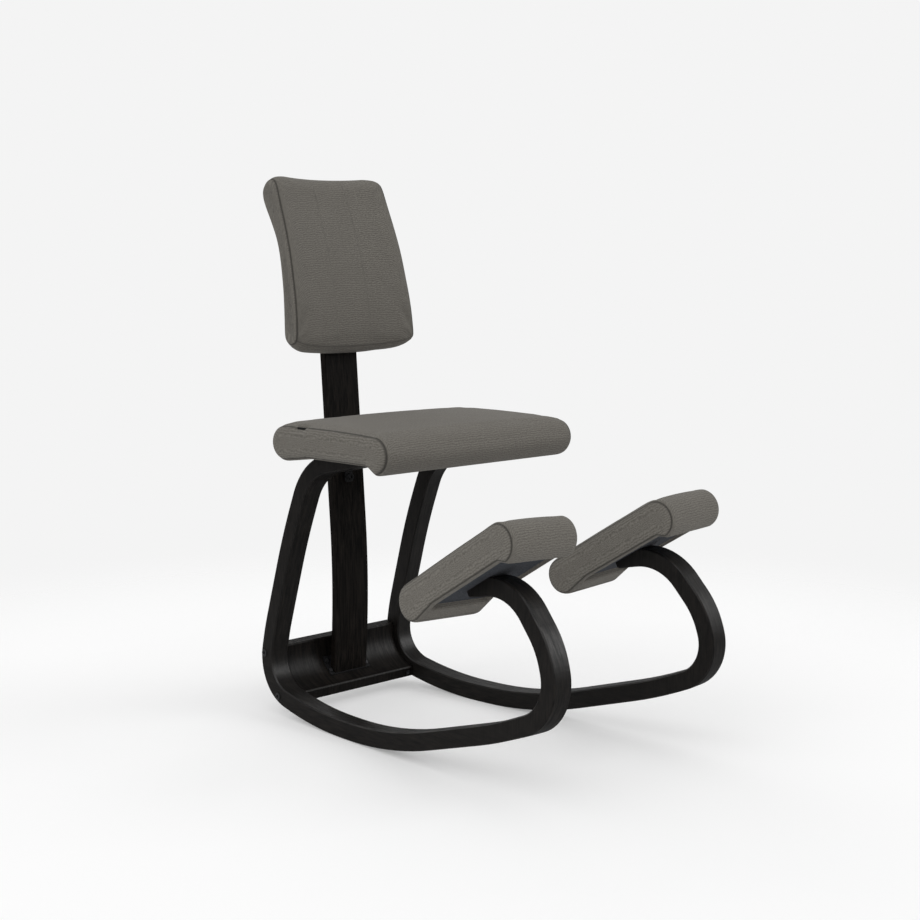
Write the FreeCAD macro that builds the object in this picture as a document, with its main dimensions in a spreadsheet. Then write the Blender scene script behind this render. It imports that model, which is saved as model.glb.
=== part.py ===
import FreeCAD, Part
import math
import os
import re
import Sketcher

# Kneeling chair, in millimetres.
# X runs across the chair, -Y is the way the sitter faces, +Z is up.
# Each runner is one bent laminated strip: it starts as a flat under the seat, comes down as the rear leg,
# turns through the heel, rocks on the floor, rises at the toe and curls back to carry a knee rest.
# The runners splay out towards the toes and lean in towards the seat.
# The chair is drawn with Y = 0 near the heel and is moved at the end, so that the origin lies
# in the middle of the chair's footprint, on the floor.

# Driving dimensions: name, value in mm or degrees, meaning
SIZES = [
    ("runner_width", 35.5, "width of a runner strip across the chair"),
    ("runner_thickness", 30.1, "thickness of the laminated strip"),
    ("runner_edge", 2.0, "bevel along the long edges of a runner"),
    ("half_track", 152.8, "chair centre to a runner's middle plane, at the heel"),
    ("splay", 3.27, "turn of each runner outwards to the toe, degrees"),
    ("lean", 1.83, "lean of each runner inwards to the seat, degrees"),
    ("seat_plane", 467.0, "height of the runners' flats under the seat"),
    ("seat_flat_front", 241.0, "front end of those flats, ahead of the heel line"),
    ("seat_bend_y", -39.2, "bend under the seat, along the chair"),
    ("seat_bend_drop", 16.0, "bend under the seat, below the flats"),
    ("seat_bend_radius", 116.0, "outer radius of the bend under the seat"),
    ("seat_rise", 11.6, "slope of the strip's end under the seat, degrees"),
    ("leg_upper_y", 14.4, "upper turn of the rear leg, along the chair"),
    ("leg_upper_z", 319.2, "upper turn of the rear leg, height"),
    ("leg_upper_radius", 1150.0, "outer radius of the upper turn"),
    ("leg_lower_y", 64.0, "lower turn of the rear leg, along the chair"),
    ("leg_lower_z", 149.7, "lower turn of the rear leg, height"),
    ("leg_lower_radius", 450.0, "outer radius of the lower turn"),
    ("heel_y", 86.1, "heel corner, along the chair"),
    ("heel_z", 34.7, "heel corner, height"),
    ("heel_radius", 84.0, "outer radius of the heel"),
    ("rocker_rear_y", -78.1, "rear turn of the rocker, along the chair"),
    ("rocker_rear_radius", 700.0, "outer radius of the rocker's rear half"),
    ("rocker_front_y", -281.4, "front turn of the rocker, along the chair"),
    ("rocker_front_radius", 740.0, "outer radius of the rocker's front half"),
    ("rocker_toe_y", -541.7, "last turn of the rocker, along the chair"),
    ("rocker_toe_z", 76.9, "last turn of the rocker, height"),
    ("rocker_toe_radius", 850.0, "outer radius of the rocker's last turn"),
    ("toe_y", -672.3, "toe corner, along the chair"),
    ("toe_z", 132.1, "toe corner, height"),
    ("toe_radius", 84.0, "outer radius of the toe"),
    ("tip_y", -463.4, "rear end of a runner's flat under the knee rest, along the chair"),
    ("tip_z", 292.4, "rear end of that flat, height"),
    ("knee_tilt", 30.8, "rise of the knee rests towards the front, degrees"),
    ("curl_lower_reach", 176.7, "lower bend of the curl, ahead of the tip"),
    ("curl_lower_drop", 51.4, "lower bend of the curl, below the tip"),
    ("curl_lower_radius", 145.0, "outer radius of the curl's lower bend"),
    ("curl_upper_reach", 96.7, "upper bend of the curl, ahead of the tip"),
    ("curl_upper_rise", 39.7, "upper bend of the curl, above the tip"),
    ("curl_upper_radius", 106.0, "outer radius of the curl's upper bend"),
    ("curl_end_drop", 11.2, "fall of the strip's end under the knee rest, degrees"),
    ("panel_thickness", 20.0, "thickness of the curved cross member"),
    ("panel_high", -11.0, "upper edge of the cross member, degrees below the heel's middle"),
    ("panel_low", 77.0, "lower edge of the cross member, degrees below the heel's middle"),
    ("frame_bolt_high", -2.0, "upper frame bolt, degrees below the heel's middle"),
    ("frame_bolt_low", 64.0, "lower frame bolt, degrees below the heel's middle"),
    ("frame_bolt_radius", 3.0, "frame bolt shank"),
    ("frame_bolt_head_radius", 6.5, "frame bolt head"),
    ("frame_bolt_head", 4.5, "height of a frame bolt's head"),
    ("frame_bolt_sink", 3.0, "depth of the counterbore for that head"),
    ("barrel_radius", 4.5, "barrel nut in the cross member"),
    ("barrel_length", 17.0, "length of a barrel nut"),
    ("barrel_inset", 12.0, "cross member's end to a barrel nut's middle"),
    ("post_width", 74.0, "width of the back post"),
    ("post_thickness", 14.0, "thickness of the back post"),
    ("post_edge", 1.2, "bevel along the edges of the back post"),
    ("post_foot_y", 28.5, "front of the post at floor height, along the chair"),
    ("post_waist_z", 197.0, "height of the post's bend"),
    ("post_waist_y", 11.8, "front of the post at its bend, along the chair"),
    ("post_radius", 1600.0, "radius of the post's bend"),
    ("post_lean", 4.3, "lean of the post's upper part to the rear, degrees"),
    ("post_top", 790.0, "height of the post's top"),
    ("foot_plate", 3.0, "thickness of the steel foot plate"),
    ("foot_plate_half", 46.0, "half width of the foot plate"),
    ("foot_plate_high", 20.0, "rear edge of the foot plate, degrees below the heel's middle"),
    ("foot_plate_low", 55.0, "front edge of the foot plate, degrees below the heel's middle"),
    ("foot_tab_height", 62.0, "top of the tab behind the post, above the post's foot"),
    ("foot_tab_half", 25.0, "half width of the tab behind the post"),
    ("foot_screw_x", 41.5, "foot screws beside the post, from the chair's middle"),
    ("foot_screw_high", 28.0, "rear foot screws, degrees below the heel's middle"),
    ("foot_screw_low", 46.0, "front foot screws, degrees below the heel's middle"),
    ("screw_radius", 2.0, "wood screw shank"),
    ("screw_head_radius", 3.8, "wood screw head"),
    ("screw_head", 2.2, "height of a wood screw's head"),
    ("screw_length", 10.0, "wood screw below its head"),
    ("seat_half_width", 207.0, "half width of the seat cushion"),
    ("seat_rear_y", -29.0, "rearmost line of the seat cushion"),
    ("seat_depth", 281.0, "depth of the seat cushion"),
    ("seat_rear_roll", 31.0, "radius of the seat's rear roll"),
    ("seat_front_roll", 28.7, "radius of the seat's front roll"),
    ("seat_roll_drop", 8.0, "rolls below the seat's flat underside"),
    ("seat_arch", 2.5, "rise of the seat's top line between its rolls"),
    ("seat_rear_run", 64.0, "length over which the rear roll runs out underneath"),
    ("seat_front_run", 18.0, "length over which the front roll runs out underneath"),
    ("seat_hem", 4.5, "cushion sides below the seat's liner"),
    ("seat_crown", 4.0, "rise of the seat's middle above its edges"),
    ("seat_board_half", 192.0, "half width of the seat board"),
    ("seat_board", 12.0, "thickness of the seat board"),
    ("knee_half_width", 64.0, "half width of a knee cushion"),
    ("knee_overhang", 107.3, "rear of a knee cushion behind the runner's tip, along its slope"),
    ("knee_depth", 281.5, "length of a knee cushion"),
    ("knee_rear_roll", 29.6, "radius of a knee cushion's rear roll"),
    ("knee_front_roll", 28.4, "radius of a knee cushion's front roll"),
    ("knee_roll_drop", 5.5, "rolls below a knee cushion's flat underside"),
    ("knee_arch", 1.0, "rise of a knee cushion's top line between its rolls"),
    ("knee_rear_run", 46.0, "length over which the rear roll runs out underneath"),
    ("knee_front_run", 12.0, "length over which the front roll runs out underneath"),
    ("knee_hem", 5.0, "cushion sides below a knee rest's liner"),
    ("knee_crown", 2.5, "rise of a knee cushion's middle above its edges"),
    ("knee_board_half", 52.0, "half width of a knee board"),
    ("knee_board", 10.0, "thickness of a knee board"),
    ("board_margin", 26.0, "board's front and rear edges inside its cushion"),
    ("draw_in", 3.5, "how far a cushion's edges pull in at its side panels"),
    ("edge_band", 14.0, "width over which a cushion's edges pull in"),
    ("liner", 1.5, "thickness of the liner under a board"),
    ("liner_margin", 7.0, "cushion side to the edge of the recessed liner"),
    ("pad_bolt_radius", 3.0, "bolt that holds a board on a runner"),
    ("pad_bolt_head_radius", 5.5, "head of that bolt"),
    ("pad_bolt_head", 3.5, "height of that head"),
    ("seat_bolt_front", 42.0, "front seat bolt behind the front end of the flats"),
    ("seat_bolt_pitch", 52.0, "distance between a runner's two seat bolts"),
    ("knee_bolt_first", 22.0, "first knee bolt ahead of the runner's tip, along the slope"),
    ("knee_bolt_pitch", 22.0, "distance between a runner's two knee bolts"),
    ("web_under_head", 9.0, "wood left between a pad bolt's head and the flat"),
    ("bracket", 4.0, "thickness of the steel bracket between seat and post"),
    ("bracket_half", 20.0, "half width of the bracket under the seat"),
    ("bracket_leg_half", 7.5, "half width of the bracket's leg on the post"),
    ("bracket_reach", 100.0, "bracket's reach under the seat board, ahead of the seat's rear"),
    ("bracket_screw_pitch", 40.0, "distance between the bracket's two screws"),
    ("post_bolt_z", 401.0, "height of the bolt through the post"),
    ("post_bolt_radius", 3.0, "bolt through the post"),
    ("post_bolt_head_radius", 5.5, "head of that bolt"),
    ("post_bolt_head", 6.0, "height of that head"),
    ("leg_below_bolt", 9.0, "end of the bracket's leg below that bolt"),
    ("washer_radius", 9.0, "washer behind the post"),
    ("washer", 1.6, "thickness of that washer"),
    ("post_nut", 5.0, "height of the nut behind the post"),
    ("post_nut_radius", 5.8, "corner radius of that nut"),
    ("back_low", 632.0, "lowest edge of the back cushion"),
    ("back_height", 299.0, "height of the back cushion"),
    ("back_half_low", 134.0, "half width of the back cushion at its lower edge"),
    ("back_half_high", 112.0, "half width of the back cushion at its upper edge"),
    ("back_front", 4.5, "front of the back cushion's sides, low down, along the chair"),
    ("back_thickness", 27.0, "thickness of the back cushion's sides, low down"),
    ("back_roll", 26.0, "radius of the back cushion's upper roll"),
    ("back_roll_y", 79.5, "middle of the upper roll at the sides, along the chair"),
    ("back_hollow", 14.0, "depth of the back cushion's hollow front"),
    ("back_dip", 6.0, "dip of the upper edge in the middle"),
    ("back_bow", 6.0, "bow of the lower edge in the middle"),
    ("back_board", 8.0, "thickness of the back board"),
    ("back_board_half", 50.0, "half width of the back board"),
    ("back_board_cover", 2.5, "padding between the back board and the post"),
    ("back_board_low", 28.0, "lower edge of the board above the cushion's lower edge"),
    ("back_board_height", 118.0, "height of the back board"),
    ("back_bolt_low", 24.0, "lower back bolt above the board's lower edge"),
    ("back_bolt_pitch", 64.0, "distance between the two back bolts"),
    ("zip_inset", 82.0, "zip slider ahead of the seat's rear"),
    ("zip_length", 20.0, "length of the zip slider"),
    ("fit", 0.1, "clearance round shanks and barrels"),
]

STUD_SIDES = 8
ALONG_X = FreeCAD.Vector(1, 0, 0)
ALONG_Y = FreeCAD.Vector(0, 1, 0)
ALONG_Z = FreeCAD.Vector(0, 0, 1)

doc = FreeCAD.newDocument("kneeling_chair")
aliases = {alias for alias, value, meaning in SIZES}
nodes = []


def make_sheet():
    """The sheet of driving dimensions, one alias to a row."""
    table = doc.addObject("Spreadsheet::Sheet", "Sizes")
    for row, (alias, value, meaning) in enumerate(SIZES, start=1):
        table.set("A%d" % row, meaning)
        table.set("B%d" % row, str(value))
        table.setAlias("B%d" % row, alias)
    doc.recompute()
    return table


sheet = make_sheet()


def formula(text):
    """Spell the sheet's name before each alias in a formula."""
    def name(match):
        word = match.group(0)
        return "Sizes." + word if word in aliases else word
    return re.sub(r"[a-z][a-z_]*", name, text)


def size(text):
    """Number that a formula of aliases gives."""
    value = sheet.evalExpression(formula(text))
    return float(getattr(value, "Value", value))


def bind(thing, **formulas):
    """Bind properties of an object to formulas of aliases."""
    for prop, text in formulas.items():
        thing.setExpression(prop, formula(text))


def vector(x, y, z=0.0):
    return FreeCAD.Vector(x, y, z)


def turned_to(direction):
    """Rotation that takes +Z to a direction."""
    return FreeCAD.Rotation(ALONG_Z, direction)


# Primitives and booleans

def box(name, length, width, height, placement):
    """Box with its first corner at the placement."""
    piece = doc.addObject("Part::Box", name)
    bind(piece, Length=length, Width=width, Height=height)
    piece.Placement = placement
    return piece


def rod(name, radius, height, placement):
    """Cylinder that starts at the placement and runs along its Z."""
    piece = doc.addObject("Part::Cylinder", name)
    bind(piece, Radius=radius, Height=height)
    piece.Placement = placement
    return piece


def stud(name, radius, height, placement):
    """Small round piece with few faces, as the chair has many of them."""
    piece = doc.addObject("Part::Prism", name)
    piece.Polygon = STUD_SIDES
    bind(piece, Circumradius=radius, Height=height)
    piece.Placement = placement
    return piece


def fused(name, pieces):
    whole = doc.addObject("Part::MultiFuse", name)
    whole.Shapes = pieces
    return whole


def group(name, pieces):
    """Separate solids that share one node."""
    whole = doc.addObject("Part::Compound", name)
    whole.Links = pieces
    return whole


def cut(name, base, tools):
    """Base less every tool."""
    rest = doc.addObject("Part::Cut", name)
    rest.Base = base
    rest.Tool = tools[0] if len(tools) == 1 else group(name + "_tools", tools)
    return rest


def mirrored(name, source):
    """The same piece on the other side of the chair."""
    twin = doc.addObject("Part::Mirroring", name)
    twin.Source = source
    twin.Normal = ALONG_X
    return twin


def solid(name, shape, placement=None):
    """Piece whose form comes from lofts."""
    piece = doc.addObject("Part::Feature", name)
    piece.Shape = shape
    if placement:
        piece.Placement = placement
    return piece


def node(name, *pieces):
    """Name a finished sub-part; it is a group of its own, so that it can be moved at the end."""
    whole = group(name, list(pieces))
    whole.Label = name
    nodes.append(whole)


def both(pieces):
    """Pieces of the sitter's right with their twins on the left."""
    return pieces + [mirrored(piece.Name + "_twin", piece) for piece in pieces]


def node_pair(name, *pieces):
    """Name a finished sub-part on the sitter's right and its twin on the left."""
    node(name + "_right", *pieces)
    node(name + "_left", *[mirrored(piece.Name + "_twin", piece) for piece in pieces])


# The bent path of a strip: straight runs joined by tangent arcs

class Bend:
    """One corner of a path, with the arc that rounds it."""

    def __init__(self, before, corner, after, radius):
        back = (before - corner).normalize()
        ahead = (after - corner).normalize()
        half = back.getAngle(ahead) / 2
        self.start = corner + back * (radius / math.tan(half))
        self.end = corner + ahead * (radius / math.tan(half))
        self.centre = corner + (back + ahead).normalize() * (radius / math.sin(half))
        self.left = (self.start - self.centre).cross(self.end - self.centre).z > 0


def path_bends(stations):
    """Bends of a path, from stations of (y, z, radius) formulas."""
    corners = [vector(size(y), size(z)) for y, z, radius in stations]
    inner = range(1, len(corners) - 1)
    return [Bend(corners[i - 1], corners[i], corners[i + 1], size(stations[i][2])) for i in inner]


def path_sketch(name, stations):
    """Sketch on the YZ plane, with its corners and radii bound to the sheet."""
    sketch = doc.addObject("Sketcher::SketchObject", name)
    sketch.Placement = FreeCAD.Placement(vector(0, 0), FreeCAD.Rotation(ALONG_Y, ALONG_Z, ALONG_X, "XYZ"))
    corners = [vector(size(y), size(z)) for y, z, radius in stations]
    bends = path_bends(stations)
    runs, arcs = [], []
    for i in range(len(corners) - 1):
        start = bends[i - 1].end if i else corners[0]
        end = bends[i].start if i < len(bends) else corners[-1]
        runs.append(sketch.addGeometry(Part.LineSegment(start, end), False))
    for bend in bends:
        first, last = (bend.start, bend.end) if bend.left else (bend.end, bend.start)
        angles = [math.atan2(point.y - bend.centre.y, point.x - bend.centre.x) for point in (first, last)]
        circle = Part.Circle(bend.centre, ALONG_Z, (bend.start - bend.centre).Length)
        arcs.append(sketch.addGeometry(Part.ArcOfCircle(circle, *angles), False))
    marks = [sketch.addGeometry(Part.Point(corner), True) for corner in corners]
    rules = [("Coincident", marks[0], 1, runs[0], 1), ("Coincident", marks[-1], 1, runs[-1], 2)]
    for i, bend in enumerate(bends):
        first, last = (1, 2) if bend.left else (2, 1)
        rules.append(("Tangent", runs[i], 2, arcs[i], first))
        rules.append(("Tangent", arcs[i], last, runs[i + 1], 1))
        rules.append(("PointOnObject", marks[i + 1], 1, runs[i]))
        rules.append(("PointOnObject", marks[i + 1], 1, runs[i + 1]))
    sketch.addConstraint([Sketcher.Constraint(*rule) for rule in rules])
    for mark, corner, (y, z, radius) in zip(marks, corners, stations):
        for kind, value, text in (("DistanceX", corner.x, y), ("DistanceY", corner.y, z)):
            number = sketch.addConstraint(Sketcher.Constraint(kind, -1, 1, mark, 1, value))
            sketch.setExpression("Constraints[%d]" % number, formula(text))
    for arc, station in zip(arcs, stations[1:]):
        number = sketch.addConstraint(Sketcher.Constraint("Radius", arc, size(station[2])))
        sketch.setExpression("Constraints[%d]" % number, formula(station[2]))
    return sketch


def strip(name, sketch, thickness, width, bevel):
    """Bent strip: the path is one face of it, and its long edges are bevelled."""
    side = doc.addObject("Part::Offset2D", name + "_side")
    side.Source = sketch
    side.Mode = "Skin"
    side.Join = "Arc"
    side.Fill = True
    bind(side, Value=thickness)
    bar = doc.addObject("Part::Extrusion", name + "_bar")
    bar.Base = side
    bar.DirMode = "Normal"
    bar.Symmetric = True
    bind(bar, LengthFwd=width)
    doc.recompute()
    edges = []
    for number, edge in enumerate(bar.Shape.Edges, start=1):
        reach = edge.BoundBox
        if reach.XLength < 0.01:
            edges.append((number, size(bevel), size(bevel)))
    bevelled = doc.addObject("Part::Chamfer", name + "_bevelled")
    bevelled.Base = bar
    bevelled.Edges = edges
    return bevelled


# Frames that the pieces share

# middle plane of the runner on the sitter's right
runner_frame = FreeCAD.Placement(
    vector(-size("half_track"), 0, 0),
    FreeCAD.Rotation(ALONG_Z, -size("splay")) * FreeCAD.Rotation(ALONG_Y, size("lean")))

# tip of the runner's flat under the knee rest: -Y runs up the slope, +Z is square to the knee board
knee_frame = FreeCAD.Placement(
    vector(0, size("tip_y"), size("tip_z")), FreeCAD.Rotation(ALONG_X, -size("knee_tilt")))

RUNNER_PATH = [
    ("-(seat_flat_front + runner_thickness)",
     "seat_plane - seat_bend_drop + (seat_bend_y + seat_flat_front + runner_thickness) * tan(seat_rise)", ""),
    ("seat_bend_y", "seat_plane - seat_bend_drop", "seat_bend_radius"),
    ("leg_upper_y", "leg_upper_z", "leg_upper_radius"),
    ("leg_lower_y", "leg_lower_z", "leg_lower_radius"),
    ("heel_y", "heel_z", "heel_radius"),
    ("rocker_rear_y", "0", "rocker_rear_radius"),
    ("rocker_front_y", "0", "rocker_front_radius"),
    ("rocker_toe_y", "rocker_toe_z", "rocker_toe_radius"),
    ("toe_y", "toe_z", "toe_radius"),
    ("tip_y - curl_lower_reach", "tip_z - curl_lower_drop", "curl_lower_radius"),
    ("tip_y - curl_upper_reach", "tip_z + curl_upper_rise", "curl_upper_radius"),
    ("tip_y + runner_thickness",
     "tip_z + curl_upper_rise - (curl_upper_reach + runner_thickness) * tan(curl_end_drop)", ""),
]
HEEL = 3  # place of the heel among the path's bends

POST_PATH = [
    ("post_foot_y", "0", ""),
    ("post_waist_y", "post_waist_z", "post_radius"),
    ("post_waist_y + (post_top - post_waist_z) * tan(post_lean)", "post_top", ""),
]

heel = path_bends(RUNNER_PATH)[HEEL]
heel_centre = vector(0, heel.centre.x, heel.centre.y)


def round_heel(radius, angle):
    """Point at a radius round the heel's centre, at an angle below its middle, in degrees."""
    turn = math.radians(angle)
    return heel_centre + vector(0, radius * math.cos(turn), -radius * math.sin(turn))


def heel_outward(angle):
    """Direction from the heel's centre at an angle below its middle."""
    return round_heel(1, angle) - heel_centre


def heel_downward(angle):
    """Direction along the bent panel, down and forward, at an angle below the heel's middle."""
    return ALONG_X.cross(heel_outward(angle)) * -1


def heel_band(name, outer, inner, high, low, half_width):
    """Band round the heel's centre, between two radii and two angles."""
    start = size(high)
    spin = FreeCAD.Rotation(heel_outward(start), heel_downward(start), ALONG_X * -1, "XYZ")
    place = FreeCAD.Placement(heel_centre + ALONG_X * size(half_width), spin)
    sector = rod(name + "_outer", outer, "2 * (%s)" % half_width, place)
    bind(sector, Angle="%s - (%s)" % (low, high))
    bore = rod(name + "_inner", inner, "2 * (%s)" % half_width, place)
    return cut(name + "_band", sector, [bore])


# Fasteners stand along +Z with the underside of the head at their origin

def bolt(name, kind, length, placement, socket=False):
    """Round-headed bolt or screw, with a hexagon socket where it shows."""
    shank = stud(name + "_shank", kind + "_radius", "%s + 1" % length, FreeCAD.Placement())
    shank.Placement.Base = ALONG_Z * -size(length)
    round_head = rod if socket else stud
    head = round_head(name + "_head", kind + "_head_radius", kind + "_head", FreeCAD.Placement())
    whole = fused(name + "_whole", [head, shank])
    if socket:
        key = doc.addObject("Part::Prism", name + "_key")
        key.Polygon = 6
        bind(key, Circumradius=kind + "_head_radius / 2", Height=kind + "_head")
        key.Placement.Base = ALONG_Z * (size(kind + "_head") / 2)
        whole = cut(name, whole, [key])
    whole.Placement = placement
    return whole


def hole(name, radius, length, placement):
    """Drill from a fastener's origin, down its shank."""
    drill = stud(name, radius, length, FreeCAD.Placement())
    drill.Placement = placement * FreeCAD.Placement(ALONG_Z * -size(length), FreeCAD.Rotation())
    return drill


# Upholstery: profiles across the pad, lofted from one side panel to the other

class Outline:
    """Closed outline of lines and arcs, built up point by point."""

    def __init__(self, place):
        self.place = place
        self.edges = []
        self.last = None

    def start(self, y, z):
        self.last = self.place(y, z)
        self.first = self.last

    def line(self, y, z):
        point = self.place(y, z)
        self.edges.append(Part.LineSegment(self.last, point).toShape())
        self.last = point

    def arc(self, middle, end):
        through, point = self.place(*middle), self.place(*end)
        self.edges.append(Part.Arc(self.last, through, point).toShape())
        self.last = point

    def close(self):
        self.edges.append(Part.LineSegment(self.last, self.first).toShape())
        return Part.Wire(self.edges)


def pad_outline(kind, x, inset, crown):
    """Outline of a seat or knee cushion at one place across it; z = 0 is the runners' flat."""
    names = ("depth", "rear_roll", "front_roll", "rear_run", "front_run", "roll_drop", "hem", "arch")
    depth, rear, front, rear_run, front_run, drop, hem, arch = [size(kind + "_" + name) for name in names]
    low = -(hem + drop)
    rear_y, rear_z = -rear, low + rear
    front_y, front_z = front - depth, low + front
    rear, front = rear - inset, front - inset
    slant = math.sqrt(0.5)
    outline = Outline(lambda y, z: vector(x, y, z))
    outline.start(rear_y, rear_z - rear)
    outline.arc((rear_y + rear * slant, rear_z - rear * slant), (rear_y + rear, rear_z))
    outline.arc((rear_y + rear * slant, rear_z + rear * slant), (rear_y, rear_z + rear + crown / 2))
    top = (rear_z + rear + front_z + front) / 2 + arch + crown
    outline.arc(((rear_y + front_y) / 2, top), (front_y, front_z + front + crown / 2))
    outline.arc((front_y - front * slant, front_z + front * slant), (front_y - front, front_z))
    outline.arc((front_y - front * slant, front_z - front * slant), (front_y, front_z - front))
    outline.line(front_y + front_run, -hem)
    outline.line(rear_y - rear_run, -hem)
    return outline.close()


def pad_cushion(kind, shares):
    """Seat or knee cushion: rolled ends, a crowned top and edges drawn in at the side panels."""
    half = size(kind + "_half_width")
    flat = half - size("edge_band")
    crown = size(kind + "_crown")
    sections = [(share * flat, 0, crown * (1 - share * share)) for share in shares]
    sections.append((half, size("draw_in"), 0))
    mirror = [(-x, pull, rise) for x, pull, rise in sections[:0:-1]]
    outlines = [pad_outline(kind, *section) for section in mirror + sections]
    return Part.makeLoft(outlines, True, True)


def back_outline(share, inset):
    """Outline of the back cushion at a share of its half width, -1 to 1."""
    low, height = size("back_low"), size("back_height")
    wide, narrow = size("back_half_low"), size("back_half_high")
    front, thick = size("back_front"), size("back_thickness")
    roll, roll_y = size("back_roll"), size("back_roll_y")
    middle = 1 - share * share
    sink = size("back_hollow") * middle
    rear_sink = sink + 3 * middle
    bottom = low - size("back_bow") * middle + inset
    top = low + height - size("back_dip") * middle - inset
    sweep = roll_y - front
    waist = low + 0.615 * height

    def place(y, z):
        half = wide + (narrow - wide) * (z - low) / height
        return vector(share * half, y, z)

    outline = Outline(place)
    outline.start(front + sink + thick / 2, bottom)
    outline.arc((front + sink + inset + 3.5, bottom + 5), (front + sink + inset, bottom + 18))
    outline.arc(
        (front + 0.06 * sweep + sink + inset, low + 0.31 * height),
        (front + 0.287 * sweep + sink + inset, waist))
    outline.line(roll_y - roll + sink + inset, low + height - roll - 4)
    outline.arc(
        (roll_y + sink - 0.7 * (roll - inset), top - 0.3 * (roll - inset)),
        (roll_y + sink, top))
    outline.arc(
        (roll_y + sink + 0.7 * (roll - inset), top - 0.3 * (roll - inset)),
        (roll_y + roll + sink - inset, top - roll + inset))
    outline.line(front + thick + 0.3 * sweep + rear_sink - inset, waist)
    outline.arc(
        (front + thick + 0.075 * sweep + rear_sink - inset, low + 0.35 * height),
        (front + thick + rear_sink - inset, bottom + 18))
    outline.arc((front + thick + rear_sink - inset - 3.5, bottom + 5), (front + sink + thick / 2, bottom))
    return Part.Wire(outline.edges)


def back_cushion_form():
    """Back cushion: hollow to the front, narrower at the top, thick roll along its upper edge."""
    band = size("edge_band") / size("back_half_low")
    shares = [0, 0.5, 1 - band, 1]
    shares = [-share for share in shares[:0:-1]] + shares
    inset = size("draw_in")
    outlines = [back_outline(share, inset if abs(share) == 1 else 0) for share in shares]
    return Part.makeLoft(outlines, True, True)


# Runners

def across(share):
    """Local x in the runner's frame, from its outer face (-1) to its inner face (1)."""
    return size("runner_width") / 2 * share


runner_path = path_sketch("runner_path", RUNNER_PATH)
runner_strip = strip("runner_strip", runner_path, "runner_thickness", "runner_width", "runner_edge")

above_knee_flat = box(
    "above_knee_flat", "2 * runner_width", "curl_upper_reach * 2", "runner_thickness * 2",
    knee_frame * FreeCAD.Placement(
        vector(-size("runner_width"), -size("curl_upper_reach"), 0), FreeCAD.Rotation()))
beyond_tip = box(
    "beyond_tip", "2 * runner_width", "runner_thickness * 3", "runner_thickness * 4",
    knee_frame * FreeCAD.Placement(
        vector(-size("runner_width"), 0, -2 * size("runner_thickness")), FreeCAD.Rotation()))

panel_middle = size("heel_radius - panel_thickness / 2")
to_outside = turned_to(ALONG_X * -1)
frame_bolt_places = []
for angle in (size("frame_bolt_high"), size("frame_bolt_low")):
    origin = round_heel(panel_middle, angle) + ALONG_X * (across(-1) + size("frame_bolt_sink"))
    frame_bolt_places.append(FreeCAD.Placement(origin, to_outside))

FRAME_BOLT_LENGTH = "runner_width - frame_bolt_sink + barrel_inset + barrel_radius"
frame_drills = []
for number, place in enumerate(frame_bolt_places, start=1):
    frame_drills.append(hole("frame_hole_%d" % number, "frame_bolt_radius + fit", "runner_width", place))
    frame_drills.append(rod(
        "frame_counterbore_%d" % number, "frame_bolt_head_radius + fit", "runner_width", place))

from_below = FreeCAD.Rotation(ALONG_X, 180)
knee_bolt_places = []
for number in (0, 1):
    ahead = size("knee_bolt_first + %d * knee_bolt_pitch" % number)
    knee_bolt_places.append(knee_frame * FreeCAD.Placement(
        vector(0, -ahead, -size("web_under_head")), from_below))
knee_drills = []
for number, place in enumerate(knee_bolt_places, start=1):
    knee_drills.append(hole("knee_hole_%d" % number, "pad_bolt_radius + fit", "runner_thickness", place))
    knee_drills.append(stud(
        "knee_counterbore_%d" % number, "pad_bolt_head_radius + fit * 3", "runner_thickness", place))

runner_local = cut(
    "runner_local", runner_strip, [above_knee_flat, beyond_tip] + frame_drills + knee_drills)
runner_local.Placement = runner_frame

above_seat_flat = box(
    "above_seat_flat", "4 * runner_width", "seat_flat_front * 2", "runner_thickness * 4",
    FreeCAD.Placement(
        vector(-size("half_track + 2 * runner_width"), -size("seat_flat_front * 1.5"), size("seat_plane")),
        FreeCAD.Rotation()))
ahead_of_seat_flat = box(
    "ahead_of_seat_flat", "4 * runner_width", "runner_thickness * 3", "runner_thickness * 4",
    FreeCAD.Placement(
        vector(
            -size("half_track + 2 * runner_width"),
            -size("seat_flat_front + 3 * runner_thickness"),
            size("seat_plane - 3 * runner_thickness")),
        FreeCAD.Rotation()))


def on_runner(y, z):
    """Chair point on the runner's middle plane above or below a point of its path."""
    return runner_frame.multVec(vector(0, y, z))


seat_bolt_places = []
for number in (0, 1):
    y = -size("seat_flat_front - seat_bolt_front - %d * seat_bolt_pitch" % number)
    place = on_runner(y, size("seat_plane - web_under_head"))
    seat_bolt_places.append(FreeCAD.Placement(place, from_below))
seat_drills = []
for number, place in enumerate(seat_bolt_places, start=1):
    seat_drills.append(hole("seat_hole_%d" % number, "pad_bolt_radius + fit", "runner_thickness", place))
    seat_drills.append(stud(
        "seat_counterbore_%d" % number, "pad_bolt_head_radius + fit * 3", "runner_thickness", place))

runner = cut("runner_cut", runner_local, [above_seat_flat, ahead_of_seat_flat] + seat_drills)
node_pair("runner", runner)

frame_bolts = []
for number, place in enumerate(frame_bolt_places, start=1):
    frame_bolts.append(bolt(
        "frame_bolt_%d" % number, "frame_bolt", FRAME_BOLT_LENGTH, runner_frame * place, socket=True))
node("frame_bolts", *both(frame_bolts))


# Cross member, bent round the heel and held between the runners by barrel nuts

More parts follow.
